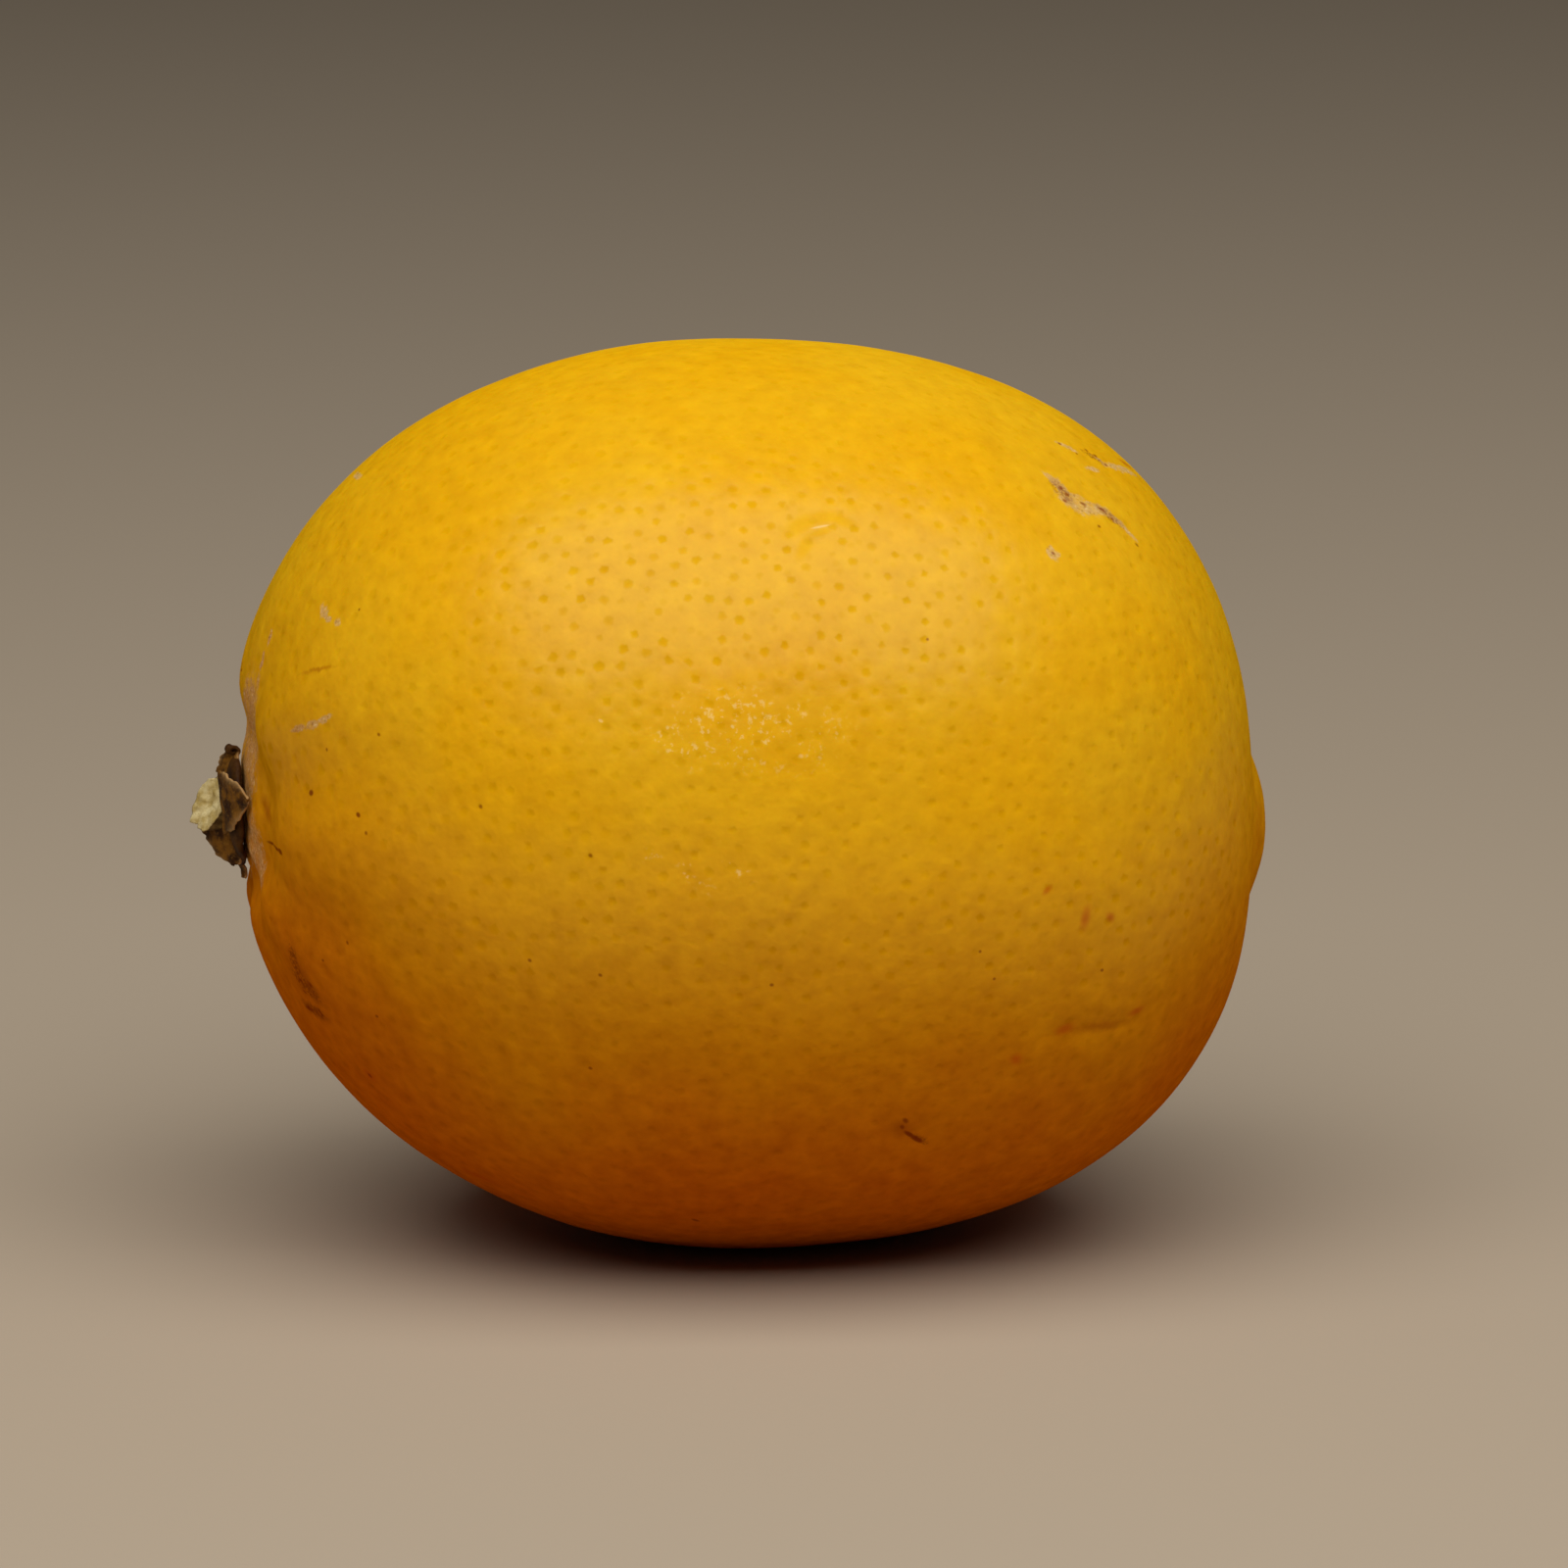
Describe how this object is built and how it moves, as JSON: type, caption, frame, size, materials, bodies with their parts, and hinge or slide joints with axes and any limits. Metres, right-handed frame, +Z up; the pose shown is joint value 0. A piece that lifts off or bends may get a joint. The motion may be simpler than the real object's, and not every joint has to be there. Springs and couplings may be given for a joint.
{
  "type": "lemon",
  "caption": "Whole ripe lemon with a low nipple at its tip, dimpled peel, a dried calyx and a short cut stem, lying on a small flat spot.",
  "frame": {"origin": "middle of the underside of the whole lemon's box, on the surface that it rests on", "axes": "+X from the stem end to the tip, +Z up, +Y away from the viewer of the picture"},
  "size_m": [0.0766, 0.0644, 0.0647],
  "materials": {
    "peel": "waxy semi-gloss citrus peel with small oil-gland pits",
    "calyx": "dull dried olive-brown sepals",
    "stem_wood": "dull pale straw cut wood with brown bark"
  },
  "bodies": {
    "root": {"fruit": "peel", "calyx": "calyx", "stem_stub": "stem_wood"}
  },
  "joints": []
}
